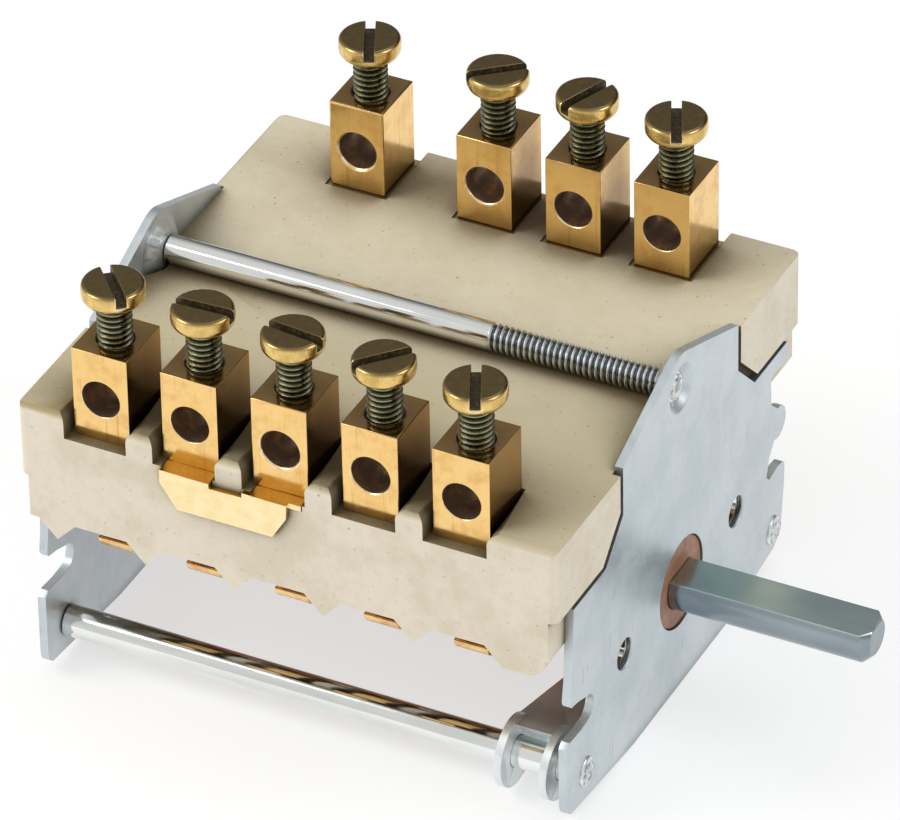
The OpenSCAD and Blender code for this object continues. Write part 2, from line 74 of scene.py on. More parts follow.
class Shader:
    """A material with a Principled shader, and short calls for the nodes that feed it.

    Lengths are in mm.
    """

    def __init__(self, name, color, metallic=0.0, roughness=0.5, specular=0.5):
        self.material = bpy.data.materials.new(name)
        self.material.use_nodes = True
        self.tree = self.material.node_tree
        self.bsdf = self.tree.nodes["Principled BSDF"]
        self.bsdf.inputs["Base Color"].default_value = (*color, 1)
        self.bsdf.inputs["Metallic"].default_value = metallic
        self.bsdf.inputs["Roughness"].default_value = roughness
        self.bsdf.inputs["Specular IOR Level"].default_value = specular
        self.height = None

    def node(self, kind, **settings):
        made = self.tree.nodes.new(kind)
        for key, value in settings.items():
            setattr(made, key, value)
        return made

    def feed(self, target, value):
        """Links an output to an input, or sets the input to a plain value."""
        if isinstance(value, bpy.types.NodeSocket):
            self.tree.links.new(value, target)
        elif isinstance(value, (tuple, list)) and len(value) == 3 and target.type == "RGBA":
            target.default_value = (*value, 1)
        else:
            target.default_value = value

    def place(self, stretch=(1, 1, 1)):
        """The point's place on the piece, in mm, divided by stretch."""
        scaled = self.node("ShaderNodeVectorMath", operation="MULTIPLY")
        source = self.node("ShaderNodeTexCoord").outputs["Object"]
        self.feed(scaled.inputs[0], source)
        scaled.inputs[1].default_value = [1 / MM / s for s in stretch]
        return scaled.outputs[0]

    def noise(self, size, detail=3, roughness=0.5, stretch=(1, 1, 1)):
        """Cloudy noise of about this size, from 0 to 1."""
        texture = self.node("ShaderNodeTexNoise")
        texture.inputs["Scale"].default_value = 1 / size
        texture.inputs["Detail"].default_value = detail
        texture.inputs["Roughness"].default_value = roughness
        self.feed(texture.inputs["Vector"], self.place(stretch))
        return texture.outputs["Fac"]

    def cells(self, size):
        """Distance to the nearest of some scattered points, as a share of size."""
        texture = self.node("ShaderNodeTexVoronoi")
        texture.inputs["Scale"].default_value = 1 / size
        self.feed(texture.inputs["Vector"], self.place())
        return texture.outputs["Distance"]

    def band(self, value, low, high, to_low=0.0, to_high=1.0):
        """Maps low..high to to_low..to_high, smoothly, and holds the ends outside it."""
        made = self.node("ShaderNodeMapRange", interpolation_type="SMOOTHSTEP")
        ends = {"From Min": low, "From Max": high, "To Min": to_low, "To Max": to_high}
        for name, number in ends.items():
            made.inputs[name].default_value = number
        self.feed(made.inputs["Value"], value)
        return made.outputs["Result"]

    def math(self, operation, a, b=0.0):
        made = self.node("ShaderNodeMath", operation=operation)
        self.feed(made.inputs[0], a)
        self.feed(made.inputs[1], b)
        return made.outputs[0]

    def mix(self, share, a, b):
        """Colour a where share is 0 and colour b where it is 1."""
        made = self.node("ShaderNodeMix", data_type="RGBA")
        self.feed(made.inputs["Factor"], share)
        self.feed(made.inputs["A"], a)
        self.feed(made.inputs["B"], b)
        return made.outputs["Result"]

    def part(self, vector, axis):
        """The vector's share along axis "X", "Y" or "Z"."""
        split = self.node("ShaderNodeSeparateXYZ")
        self.feed(split.inputs[0], vector)
        return split.outputs[axis]

    def upward(self):
        """1 on faces that look up, 0 on upright ones."""
        geometry = self.node("ShaderNodeNewGeometry")
        return self.band(self.part(geometry.outputs["Normal"], "Z"), 0.3, 0.9)

    def square_to(self, axis):
        """1 on faces square to the axis, 0 on faces that run along it."""
        geometry = self.node("ShaderNodeNewGeometry")
        return self.band(self.math("ABSOLUTE", self.part(geometry.outputs["Normal"], axis)), 0.3, 0.9)

    def crevice(self, reach, open_at=0.84, closed_at=0.36):
        """1 deep in corners and gaps narrower than reach mm, 0 on open faces, from ambient occlusion; it
        masks painted shade.
        """
        closed = self.node("ShaderNodeAmbientOcclusion", samples=6)
        closed.inputs["Distance"].default_value = reach * MM
        return self.band(closed.outputs["AO"], open_at, closed_at)

    def edge_wear_and_light(self, low=0.5, high=0.56):
        """1 on convex edges and 0 in hollows, from the mesh's own curvature; it masks rubbed wear, painted
        highlights on edges and painted shade in hollows.
        """
        geometry = self.node("ShaderNodeNewGeometry")
        return self.band(geometry.outputs["Pointiness"], low, high)

    def color(self, value):
        self.feed(self.bsdf.inputs["Base Color"], value)

    def roughness(self, value):
        self.feed(self.bsdf.inputs["Roughness"], value)

    def bump(self, height, depth):
        """Adds relief: height runs from 0 to 1 over depth mm."""
        made = self.node("ShaderNodeBump")
        made.inputs["Strength"].default_value = 1.0
        made.inputs["Distance"].default_value = depth * MM
        self.feed(made.inputs["Height"], height)
        if self.height is not None:
            self.feed(made.inputs["Normal"], self.height)
        self.height = made.outputs["Normal"]
        self.feed(self.bsdf.inputs["Normal"], self.height)


def steatite():
    """Unglazed pressed ceramic: cream, with painted shade that makes its top darker and yellower, most
    towards the front, painted shade in its corners and gaps, and brown specks and pits.
    """
    s = Shader("steatite", (0.64, 0.58, 0.46), roughness=0.72, specular=0.3)
    # Painted shade: faces that look up are darker and yellower than upright ones, most towards the front.
    drift = s.math("ADD", s.part(s.place(), "Y"), s.math("MULTIPLY", s.noise(11, 3), 16))
    top = s.mix(s.band(drift, 14, -2), (0.56, 0.505, 0.35), (0.40, 0.33, 0.165))
    faces = s.mix(s.upward(), (0.70, 0.63, 0.51), top)
    cloud = s.band(s.noise(7, 4, 0.65), 0.4, 0.66)
    clouded = s.mix(s.math("MULTIPLY", cloud, 0.4), faces, (0.45, 0.375, 0.22))
    mottle = s.band(s.noise(1.6, 3, 0.6), 0.45, 0.7)
    mottled = s.mix(s.math("MULTIPLY", mottle, 0.16), clouded, (0.40, 0.33, 0.20))
    rim = s.mix(s.math("MULTIPLY", s.edge_wear_and_light(0.53, 0.6), 0.3), mottled, (0.76, 0.71, 0.60))
    spots = s.math("MULTIPLY", s.band(s.cells(1.7), 0.10, 0.05), s.band(s.noise(2.3, 1), 0.46, 0.56))
    specked = s.mix(s.math("MULTIPLY", spots, 0.75), rim, (0.26, 0.16, 0.08))
    dust = s.math("MULTIPLY", s.band(s.cells(0.75), 0.16, 0.06), s.band(s.noise(1.3, 1), 0.48, 0.60))
    dusted = s.mix(s.math("MULTIPLY", dust, 0.42), specked, (0.38, 0.28, 0.16))
    # Painted shade in corners and gaps, from ambient occlusion.
    s.color(s.mix(s.math("MULTIPLY", s.crevice(9, 0.94, 0.56), 0.95), dusted, (0.085, 0.06, 0.022)))
    s.roughness(s.band(s.noise(3, 3), 0.3, 0.7, 0.62, 0.82))
    s.bump(s.noise(0.35, 2), 0.04)
    s.bump(s.noise(2.6, 2), 0.10)
    s.bump(s.band(s.cells(1.6), 0.13, 0.03), -0.08)
    return s.material


def zinc_sheet():
    """Zinc plated sheet, satin and a little milky, with faint rolling lines, scratches and clouding, and
    painted shade in its corners and gaps.
    """
    s = Shader("zinc_sheet", (0.56, 0.61, 0.64), metallic=0.8, roughness=0.36)
    cloud = s.noise(7, 4, 0.6)
    plain = s.mix(s.band(cloud, 0.3, 0.7), (0.50, 0.56, 0.60), (0.62, 0.67, 0.69))
    scratch = s.math("MULTIPLY", s.band(s.noise(0.5, 2, 0.6, (1, 0.7, 14)), 0.63, 0.70),
                     s.band(s.noise(5, 1), 0.52, 0.62))
    scuffed = s.mix(s.math("MULTIPLY", scratch, 0.5), plain, (0.34, 0.36, 0.37))
    # Painted shade in corners and gaps, from ambient occlusion.
    s.color(s.mix(s.math("MULTIPLY", s.crevice(2.5), 0.7), scuffed, (0.16, 0.16, 0.155)))
    handled = s.band(s.noise(0.6, 2), 0.3, 0.7, 0.0, 0.08)
    s.roughness(s.math("ADD", s.band(cloud, 0.3, 0.7, 0.32, 0.42), handled))
    s.bump(s.noise(0.5, 2, 0.5, (1, 1, 10)), 0.006)
    s.bump(s.noise(4, 2), 0.05)
    s.bump(scratch, -0.02)
    return s.material


def bright_steel():
    """Drawn bright rod: fine lines along its length over a polished, faintly marked surface."""
    s = Shader("bright_steel", (0.80, 0.82, 0.83), metallic=1.0, roughness=0.1)
    tone = s.noise(3, 3, 0.6, (8, 1, 1))
    s.color(s.mix(s.band(tone, 0.35, 0.75), (0.86, 0.88, 0.88), (0.70, 0.72, 0.70)))
    s.roughness(s.band(s.noise(1.2, 3, 0.6, (10, 1, 1)), 0.3, 0.75, 0.05, 0.15))
    s.bump(s.noise(0.25, 2, 0.5, (30, 1, 1)), 0.004)
    return s.material


def thread_steel():
    """Rolled thread of the top rod: bright crests, and painted shade in its dark grooves."""
    s = Shader("thread_steel", (0.55, 0.58, 0.60), metallic=1.0, roughness=0.18)
    # Painted shade: the grooves are dark.
    s.color(s.mix(s.edge_wear_and_light(0.48, 0.56), (0.10, 0.11, 0.11), (0.86, 0.90, 0.93)))
    s.roughness(s.band(s.noise(0.5, 3), 0.3, 0.7, 0.12, 0.26))
    s.bump(s.noise(0.3, 2), 0.006)
    return s.material


def rivet_steel():
    """Riveted rod ends: grey, bruised steel, with painted shade in the staking marks and painted highlights
    on their rims.
    """
    s = Shader("rivet_steel", (0.52, 0.55, 0.56), metallic=1.0, roughness=0.34)
    bruise = s.band(s.noise(0.9, 3, 0.6), 0.4, 0.62)
    plain = s.mix(bruise, (0.66, 0.69, 0.70), (0.30, 0.31, 0.31))
    # Painted shade in the staking marks, from ambient occlusion.
    hollow_shaded = s.mix(s.math("MULTIPLY", s.crevice(0.8), 0.85), plain, (0.08, 0.08, 0.075))
    # Painted highlight on the convex rims.
    s.color(s.mix(s.edge_wear_and_light(0.5, 0.6), hollow_shaded, (0.90, 0.92, 0.92)))
    s.roughness(s.band(s.noise(0.6, 3), 0.3, 0.7, 0.22, 0.44))
    s.bump(s.noise(0.7, 2), 0.05)
    return s.material


def tapped_steel():
    """Inside of the plates' fixing holes: dark, with the tap's fine rings."""
    s = Shader("tapped_steel", (0.17, 0.18, 0.18), metallic=0.8, roughness=0.42)
    groove = s.band(s.noise(0.4, 2, 0.5, (0.4, 3, 3)), 0.4, 0.65)
    s.color(s.mix(groove, (0.10, 0.105, 0.105), (0.32, 0.33, 0.33)))
    s.roughness(s.band(s.noise(0.4, 2), 0.3, 0.7, 0.34, 0.5))
    s.bump(s.noise(0.3, 2, 0.5, (1, 6, 6)), 0.02)
    return s.material


def spindle_zinc():
    """Zinc plated spindle: smooth grey-green, with very fine draw lines, its sides painted darker than its
    top flat as shade, and painted highlights on its edges.
    """
    s = Shader("spindle_zinc", (0.60, 0.65, 0.63), metallic=1.0, roughness=0.24)
    cloud = s.noise(4, 3, 0.5, (3, 1, 1))
    # Painted shade: the sides are darker than the top flat.
    shaded_sides = s.mix(s.band(cloud, 0.3, 0.7), (0.25, 0.30, 0.33), (0.31, 0.36, 0.39))
    flat = s.mix(s.upward(), shaded_sides, (0.48, 0.61, 0.61))
    # Painted highlight on the convex edges.
    s.color(s.mix(s.edge_wear_and_light(0.53, 0.60), flat, (0.82, 0.85, 0.86)))
    s.roughness(s.band(s.noise(2, 3, 0.5, (6, 1, 1)), 0.3, 0.7, 0.2, 0.27))
    s.bump(s.noise(1.5, 2, 0.5, (8, 1, 1)), 0.003)
    return s.material


def lever_steel():
    """Plated pressing of the detent lever: darker than the plates, edges rubbed bright."""
    s = Shader("lever_steel", (0.50, 0.56, 0.57), metallic=0.85, roughness=0.46)
    cloud = s.noise(4, 4, 0.6)
    plain = s.mix(s.band(cloud, 0.3, 0.7), (0.50, 0.58, 0.60), (0.60, 0.66, 0.67))
    s.color(s.mix(s.edge_wear_and_light(), plain, (0.78, 0.82, 0.82)))
    s.roughness(s.band(s.noise(1.1, 3), 0.3, 0.7, 0.40, 0.54))
    s.bump(s.noise(0.5, 2, 0.5, (1, 6, 1)), 0.01)
    return s.material


def spring_steel():
    """Dark spring wire with die lines."""
    s = Shader("spring_steel", (0.42, 0.43, 0.44), metallic=1.0, roughness=0.28)
    s.color(s.mix(s.band(s.noise(1.5, 3), 0.3, 0.7), (0.36, 0.37, 0.38), (0.55, 0.56, 0.57)))
    s.roughness(s.band(s.noise(0.4, 2), 0.3, 0.7, 0.22, 0.36))
    s.bump(s.noise(0.2, 2), 0.006)
    return s.material


def phenolic():
    """Brown moulded phenolic with paler filler flecks and turned faces."""
    s = Shader("phenolic", (0.28, 0.115, 0.06), roughness=0.45, specular=0.45)
    base = s.mix(s.band(s.noise(2.2, 4, 0.6), 0.3, 0.7), (0.24, 0.095, 0.052), (0.36, 0.165, 0.09))
    fleck = s.math("MULTIPLY", s.band(s.cells(0.5), 0.2, 0.1), s.band(s.noise(1.1, 1), 0.45, 0.6))
    s.color(s.mix(s.math("MULTIPLY", fleck, 0.35), base, (0.50, 0.30, 0.19)))
    s.roughness(s.band(s.noise(0.9, 3), 0.3, 0.7, 0.36, 0.55))
    s.bump(s.noise(0.3, 2), 0.012)
    return s.material


def block_brass():
    """Sawn and milled brass bar: orange-gold, cutter lines up its sides, tarnish, and painted shade on its
    top.

    The front row's sides are painted darker, as shade, and all faces get painted shade in corners and gaps.
    """
    s = Shader("block_brass", (0.88, 0.53, 0.17), metallic=1.0, roughness=0.18)
    tarnish = s.band(s.noise(2.4, 4, 0.65), 0.42, 0.72)
    plain = s.mix(s.math("MULTIPLY", tarnish, 0.6), (0.88, 0.59, 0.235), (0.68, 0.38, 0.11))
    # Painted shade: faces that look up are darker.
    top_shade_painted = s.mix(s.math("MULTIPLY", s.upward(), 0.75), plain, (0.36, 0.235, 0.10))
    line = s.math("MULTIPLY", s.band(s.noise(0.35, 2, 0.6, (1, 1, 40)), 0.60, 0.70), 0.45)
    lined = s.mix(line, top_shade_painted, (0.52, 0.27, 0.08))
    # Painted shade: the front row's side faces are darker.
    front_row = s.band(s.part(s.place(), "Y"), 5, -5)
    front_side = s.math("MULTIPLY", s.square_to("X"), front_row)
    sides_shade_painted = s.mix(s.math("MULTIPLY", front_side, 0.7), lined, (0.36, 0.21, 0.075))
    # Painted shade in corners and gaps, from ambient occlusion, most on faces that do not look along Y.
    gap_shade_painted = s.math("MULTIPLY", s.crevice(8), s.band(s.square_to("Y"), 0, 1, 0.9, 0.06))
    s.color(s.mix(gap_shade_painted, sides_shade_painted, (0.15, 0.07, 0.022)))
    buffed = s.band(s.noise(1.3, 3), 0.3, 0.7, 0.13, 0.19)
    s.roughness(s.math("ADD", buffed, s.math("MULTIPLY", tarnish, 0.06)))
    s.bump(s.noise(0.22, 2, 0.5, (1, 1, 30)), 0.004)
    s.bump(s.noise(3, 2), 0.008)
    return s.material


def head_brass():
    """Turned screw head: yellow brass under an olive tarnish, with painted shade on its top and a painted
    highlight on its rim.
    """
    s = Shader("head_brass", (0.66, 0.50, 0.20), metallic=1.0, roughness=0.26)
    tarnish = s.band(s.noise(1.7, 4, 0.65), 0.35, 0.7)
    side = s.mix(s.math("MULTIPLY", tarnish, 0.6), (0.80, 0.57, 0.21), (0.44, 0.28, 0.08))
    # Painted shade: faces that look up are darker.
    head_top_shade_painted = s.mix(s.math("MULTIPLY", s.upward(), 0.9), side, (0.17, 0.125, 0.06))
    # Painted highlight on the convex rim.
    s.color(s.mix(s.math("MULTIPLY", s.edge_wear_and_light(0.54, 0.62), 0.5), head_top_shade_painted, (0.95, 0.83, 0.50)))
    buffed = s.band(s.noise(0.8, 3), 0.3, 0.7, 0.18, 0.28)
    s.roughness(s.math("ADD", buffed, s.math("MULTIPLY", tarnish, 0.08)))
    s.bump(s.noise(0.25, 2), 0.006)
    return s.material


def slot_brass():
    """Sawn slot of a screw head: painted brown-black as the shade in the slot, dull gold where the saw cut
    shows.
    """
    s = Shader("slot_brass", (0.10, 0.075, 0.035), metallic=0.6, roughness=0.5)
    # Painted shade: the slot is dark.
    s.color(s.mix(s.band(s.noise(0.6, 3), 0.45, 0.75), (0.07, 0.052, 0.03), (0.20, 0.145, 0.06)))
    s.roughness(s.band(s.noise(0.4, 2), 0.3, 0.7, 0.42, 0.6))
    s.bump(s.noise(0.25, 2), 0.01)
    return s.material


def bore_brass():
    """Inside of a block's drilled holes: brass painted dark brown as the shade in the holes, a little
    brighter where it is scraped.
    """
    s = Shader("bore_brass", (0.30, 0.19, 0.12), metallic=0.85, roughness=0.36)
    s.color(s.mix(s.band(s.noise(1.2, 3), 0.45, 0.75), (0.27, 0.18, 0.13), (0.50, 0.29, 0.12)))
    s.roughness(s.band(s.noise(0.5, 2), 0.3, 0.7, 0.34, 0.52))
    s.bump(s.noise(0.3, 2, 0.5, (8, 1, 8)), 0.012)
    return s.material


def rim_brass():
    """Deburred rim of a wire hole: pale brass, a painted highlight."""
    s = Shader("rim_brass", (0.98, 0.84, 0.58), metallic=1.0, roughness=0.3)
    s.color(s.mix(s.band(s.noise(0.8, 2), 0.4, 0.7), (0.95, 0.76, 0.44), (0.80, 0.56, 0.26)))
    s.roughness(s.band(s.noise(0.5, 2), 0.3, 0.7, 0.24, 0.38))
    s.bump(s.noise(0.3, 2), 0.006)
    return s.material


def thread_brass():
    """Rolled thread, painted dark as shade, most in its grooves, and bright on its crests."""
    s = Shader("thread_brass", (0.30, 0.30, 0.19), metallic=1.0, roughness=0.25)
    # Painted shade: the grooves are darkest.
    s.color(s.mix(s.edge_wear_and_light(0.5, 0.62), (0.085, 0.095, 0.065), (0.62, 0.61, 0.42)))
    s.roughness(s.band(s.noise(0.5, 3), 0.3, 0.7, 0.18, 0.34))
    s.bump(s.noise(0.2, 2), 0.008)
    return s.material


def strap_brass():
    """Bright brass sheet, pale gold, with faint rolling lines, and painted shade on faces that look up."""
    s = Shader("strap_brass", (0.93, 0.74, 0.36), metallic=1.0, roughness=0.28)
    plain = s.mix(s.band(s.noise(2.4, 4, 0.6), 0.35, 0.7), (0.95, 0.79, 0.47), (0.90, 0.70, 0.36))
    # Painted shade: faces that look up are darker.
    s.color(s.mix(s.math("MULTIPLY", s.upward(), 0.9), plain, (0.62, 0.37, 0.07)))
    s.roughness(s.band(s.noise(0.8, 3, 0.6, (8, 1, 1)), 0.3, 0.7, 0.18, 0.28))
    s.bump(s.noise(0.6, 2, 0.5, (14, 1, 1)), 0.003)
    return s.material


def contact_brass():
    """Spring strip: golden, lightly heat-stained."""
    s = Shader("contact_brass", (0.85, 0.58, 0.26), metallic=1.0, roughness=0.3)
    s.color(s.mix(s.band(s.noise(2.0, 4, 0.6), 0.4, 0.7), (0.88, 0.62, 0.29), (0.70, 0.38, 0.16)))
    s.roughness(s.band(s.noise(0.7, 3), 0.3, 0.7, 0.24, 0.38))
    s.bump(s.noise(0.3, 2, 0.5, (1, 10, 1)), 0.006)
    return s.material


def silver():
    """Silver contact rivet, tarnished in patches."""
    s = Shader("silver", (0.80, 0.80, 0.78), metallic=1.0, roughness=0.3)
    s.color(s.mix(s.band(s.noise(0.9, 3), 0.45, 0.7), (0.84, 0.84, 0.82), (0.45, 0.41, 0.36)))
    s.roughness(s.band(s.noise(0.5, 3), 0.3, 0.7, 0.24, 0.42))
    s.bump(s.noise(0.25, 2), 0.006)
    return s.material


# ---------------------------------------------------------------- mesh tools

def made(name, bm):
    """A new object from a bmesh, smooth shaded but for its sharp edges."""
    bmesh.ops.recalc_face_normals(bm, faces=bm.faces)
    mesh = bpy.data.meshes.new(name)
    bm.to_mesh(mesh)
    bm.free()
    mesh.shade_smooth()
    mesh.set_sharp_from_angle(angle=math.radians(38))
    piece = bpy.data.objects.new(name, mesh)
    bpy.context.scene.collection.objects.link(piece)
    return piece


def stands_for(piece, node, *materials):
    """The piece rides on the node's body, replaces it, and takes its material slot."""
    for material in materials:
        piece.data.materials.append(material)
    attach(piece, BODY_OF[node])
    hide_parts(node)
    return piece


def cleaned(node):
    """A bmesh of the node's shape, its triangles joined into the flat faces they came from."""
    same_point, flat_angle = 0.002 * MM, math.radians(0.6)
    bm = bmesh.new()
    bm.from_mesh(frame["nodes"][node].data)
    bmesh.ops.remove_doubles(bm, verts=bm.verts, dist=same_point)
    bmesh.ops.dissolve_limit(bm, angle_limit=flat_angle, verts=bm.verts, edges=bm.edges)
    return bm


def soften(piece, width, segments=3, angle=42):
    """Rounds the sharp edges of a piece over width mm, and keeps its flat faces flat."""
    bevel = piece.modifiers.new("edges", "BEVEL")
    bevel.width = width * MM
    bevel.segments = segments
    bevel.limit_method = "ANGLE"
    bevel.angle_limit = math.radians(angle)
    bevel.use_clamp_overlap = True
    bevel.miter_outer = "MITER_ARC"
    normals = piece.modifiers.new("flats", "WEIGHTED_NORMAL")
    normals.keep_sharp = True


def paint_from(bm, first, index):
    """Gives every face from the first one on this material index."""
    bm.faces.ensure_lookup_table()
    for face in bm.faces[first:]:
        face.material_index = index


def rounded(node, name, material, width, segments=3):
    """The node's own shape with rounded edges."""
    piece = made(name, cleaned(node))
    soften(piece, width, segments)
    return stands_for(piece, node, material)


def spot_at(radius, angle, along):
    """The point at this radius and angle about +Z and this height, all in mm."""
    return Vector((radius * math.cos(angle), radius * math.sin(angle), along)) * MM


def ring(bm, radius, along, count, about=Matrix.Identity(4)):
    """A circle of vertices about +Z at height along, in mm."""
    turns = [2 * math.pi * k / count for k in range(count)]
    return [bm.verts.new(about @ spot_at(radius, a, along)) for a in turns]


def skin(bm, rings):
    """Joins rings of equal counts with quads, and closes the ends."""
    for low, high in zip(rings, rings[1:]):
        for k in range(len(low)):
            n = (k + 1) % len(low)
            bm.faces.new((low[k], low[n], high[n], high[k]))
    bm.faces.new(list(reversed(rings[0])))
    bm.faces.new(rings[-1])


def turned(bm, outline, count=48, about=Matrix.Identity(4)):
    """A turned shape: outline is (height, radius) in mm along +Z, from end to end."""
    skin(bm, [ring(bm, radius, along, count, about) for along, radius in outline])


def helical(bm, crest, root, pitch, low, high, count=36, about=Matrix.Identity(4)):
    """A screw thread about +Z from low to high: flanks, crest and root follow a true helix."""
    same_point = 0.001 * MM
    # share of the pitch, and radius there
    profile = [(0.0, root), (0.12, root), (0.44, crest), (0.56, crest), (0.88, root)]
    rings = []
    for turn in range(-1, math.ceil((high - low) / pitch) + 1):
        for offset, radius in profile:
            loop = []
            for k in range(count + 1):
                share = k / count
                along = min(max(low + (turn + offset + share) * pitch, low), high)
                loop.append(bm.verts.new(about @ spot_at(radius, 2 * math.pi * share, along)))
            rings.append(loop)
    for first, second in zip(rings, rings[1:]):
        for k in range(count):
            bm.faces.new((first[k], first[k + 1], second[k + 1], second[k]))
    bmesh.ops.remove_doubles(bm, verts=bm.verts, dist=same_point)
    bmesh.ops.dissolve_degenerate(bm, edges=bm.edges, dist=same_point)


def tube(bm, path, radius, count=14):
    """A round wire of this radius in mm along a path of points in metres, with flat ends."""
    side = Vector((1, 0, 0))
    rings = []
    for k, point in enumerate(path):
        ahead = (path[min(k + 1, len(path) - 1)] - path[max(k - 1, 0)]).normalized()
        side = (side - ahead * side.dot(ahead)).normalized()
        up = ahead.cross(side)
        turns = [2 * math.pi * n / count for n in range(count)]
        spokes = [side * math.cos(a) + up * math.sin(a) for a in turns]
        rings.append([bm.verts.new(point + spoke * radius * MM) for spoke in spokes])
    skin(bm, rings)


def along_x(x, y, z):
    """Carries a shape about +Z to one about +X, at a point given in metres."""
    return Matrix.Translation((x, y, z)) @ Matrix.Rotation(math.radians(90), 4, "Y")


def middle(node):
    """The middle of the node's box."""
    low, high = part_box(node)
    return (low + high) / 2


# ---------------------------------------------------------------- terminals

def terminal(row, i, materials):
    """A terminal block with soft edges, its holes painted dark inside as shade and its wire hole's rims
    painted pale as a highlight.
    """
    face_index, bore_index, rim_index = range(3)
    wire_r, wire_up, screw_r = 2.25 * MM, 5.3 * MM, 1.99 * MM
    wire_rim, screw_rim, edge_round = 0.3, 0.55, 0.3
    node = f"{row}_terminal_{i}"
    low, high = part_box(node)
    centre = (low + high) / 2
    bm = cleaned(node)
    for face in bm.faces:
        spot = face.calc_center_median()
        from_wire_axis = math.hypot(spot.x - centre.x, spot.z - low.z - wire_up)
        from_screw_axis = math.hypot(spot.x - centre.x, spot.y - centre.y)
        in_wire_hole = abs(face.normal.y) < 0.1 and from_wire_axis < wire_r
        in_screw_hole = abs(face.normal.z) < 0.1 and from_screw_axis < screw_r
        # Painted shade: the holes' inner faces take the dark bore material.
        if in_wire_hole or in_screw_hole:
            face.material_index = bore_index
    # Painted highlight: the wire holes' rims take the pale rim material; the screw holes' top rims take the
    # dark bore material, as painted shade.
    for width, looks_up, index in ((wire_rim, False, rim_index), (screw_rim, True, bore_index)):
        rim = [edge for edge in bm.edges
               if {face.material_index for face in edge.link_faces} == {face_index, bore_index}
               and any((face.normal.z > 0.9) == looks_up for face in edge.link_faces
                       if face.material_index == face_index)]
        bmesh.ops.bevel(bm, geom=rim, offset=width * MM, segments=2, profile=0.5, affect="EDGES",
                        material=index, clamp_overlap=True)
    piece = made(f"{row}_block_{i}", bm)
    soften(piece, edge_round)
    return stands_for(piece, node, *materials)


# ---------------------------------------------------------------- plates

def end_plate(node, name, sheet_material, hole_material):
    """An end plate with softened edges, its two tapped fixing holes dark inside."""
    hole_y, hole_r, near = 14 * MM, 1.8 * MM, 0.02 * MM
    hole_rim, edge_round = 0.25, 0.14
    bm = cleaned(node)
    for face in bm.faces:
        spot = face.calc_center_median()
        near_hole = math.hypot(abs(spot.y) - hole_y, spot.z) < hole_r + near
        if near_hole and abs(face.normal.x) < 0.1:
            face.material_index = 1
    rim = [edge for edge in bm.edges if {face.material_index for face in edge.link_faces} == {0, 1}]
    bmesh.ops.bevel(bm, geom=rim, offset=hole_rim * MM, segments=2, profile=0.5, affect="EDGES", material=0,
                    clamp_overlap=True)
    piece = made(name, bm)
    soften(piece, edge_round)
    return stands_for(piece, node, sheet_material, hole_material)


# ---------------------------------------------------------------- ceramic

def ceramic_body(material):
    """The ceramic with rounded upright corners, and full round ridges between the front pockets."""
    ridge_round, edge_round = 1.3, 0.28
    near, long_edge, pocket_depth = 0.05 * MM, 1 * MM, 10 * MM
    low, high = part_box("ceramic_base")
    pocket_back = low.y + pocket_depth
    bm = cleaned("ceramic_base")
    ridges = []
    for edge in bm.edges:
        if edge.calc_face_angle_signed(0) < 1:
            continue
        a, b = (v.co for v in edge.verts)
        on_top = min(a.z, b.z) > high.z - near
        at_front = max(a.y, b.y) < low.y + near
        at_end = max(a.x, b.x) < low.x + near or min(a.x, b.x) > high.x - near
        at_back = min(a.y, b.y) > high.y - near
        along_y = abs(a.x - b.x) < near and abs(a.y - b.y) > long_edge
        runs_back = along_y and max(a.y, b.y) < pocket_back
        upright_corner = at_end and (at_front or at_back) and abs(a.z - b.z) > long_edge
        if on_top and (at_front or (runs_back and not at_end)) or upright_corner:
            ridges.append(edge)
    bmesh.ops.bevel(bm, geom=ridges, offset=ridge_round * MM, segments=6, profile=0.5, affect="EDGES",
                    clamp_overlap=True)
    piece = made("ceramic_body", bm)
    soften(piece, edge_round)
    return stands_for(piece, "ceramic_base", material)


# ---------------------------------------------------------------- rods

def peened(bm, radius, height, about):
    """A riveted rod end about +Z: a low dome with a rim, dented by four blows of a staking punch."""
    # share of the radius, and share of the height there
    shape = [(1.0, 0.0), (1.0, 0.4), (0.95, 0.7), (0.86, 0.84), (0.76, 0.78), (0.68, 0.62), (0.58, 0.66),
             (0.46, 0.92), (0.28, 1.0), (0.12, 0.9)]
    count = 48
    blows, blow_turn, blow_depth = 4, 0.6, 0.85
    lobes, lobe_turn, lobe_share = 3, 1.1, 0.14
    rings = []
    for share, rise in shape:
        loop = []
        for k in range(count):
            angle = 2 * math.pi * k / count
            blow = max(0.0, math.cos(blows * angle + blow_turn)) ** 2 * max(0.0, 1 - abs(share - 0.6) / 0.36)
            reach = share * (1 - lobe_share * max(0.0, math.sin(lobes * angle + lobe_turn)) * share)
            up = max(0.0, rise - blow_depth * blow) * height
            loop.append(bm.verts.new(about @ spot_at(reach * radius, angle, up)))
        rings.append(loop)
    skin(bm, rings)


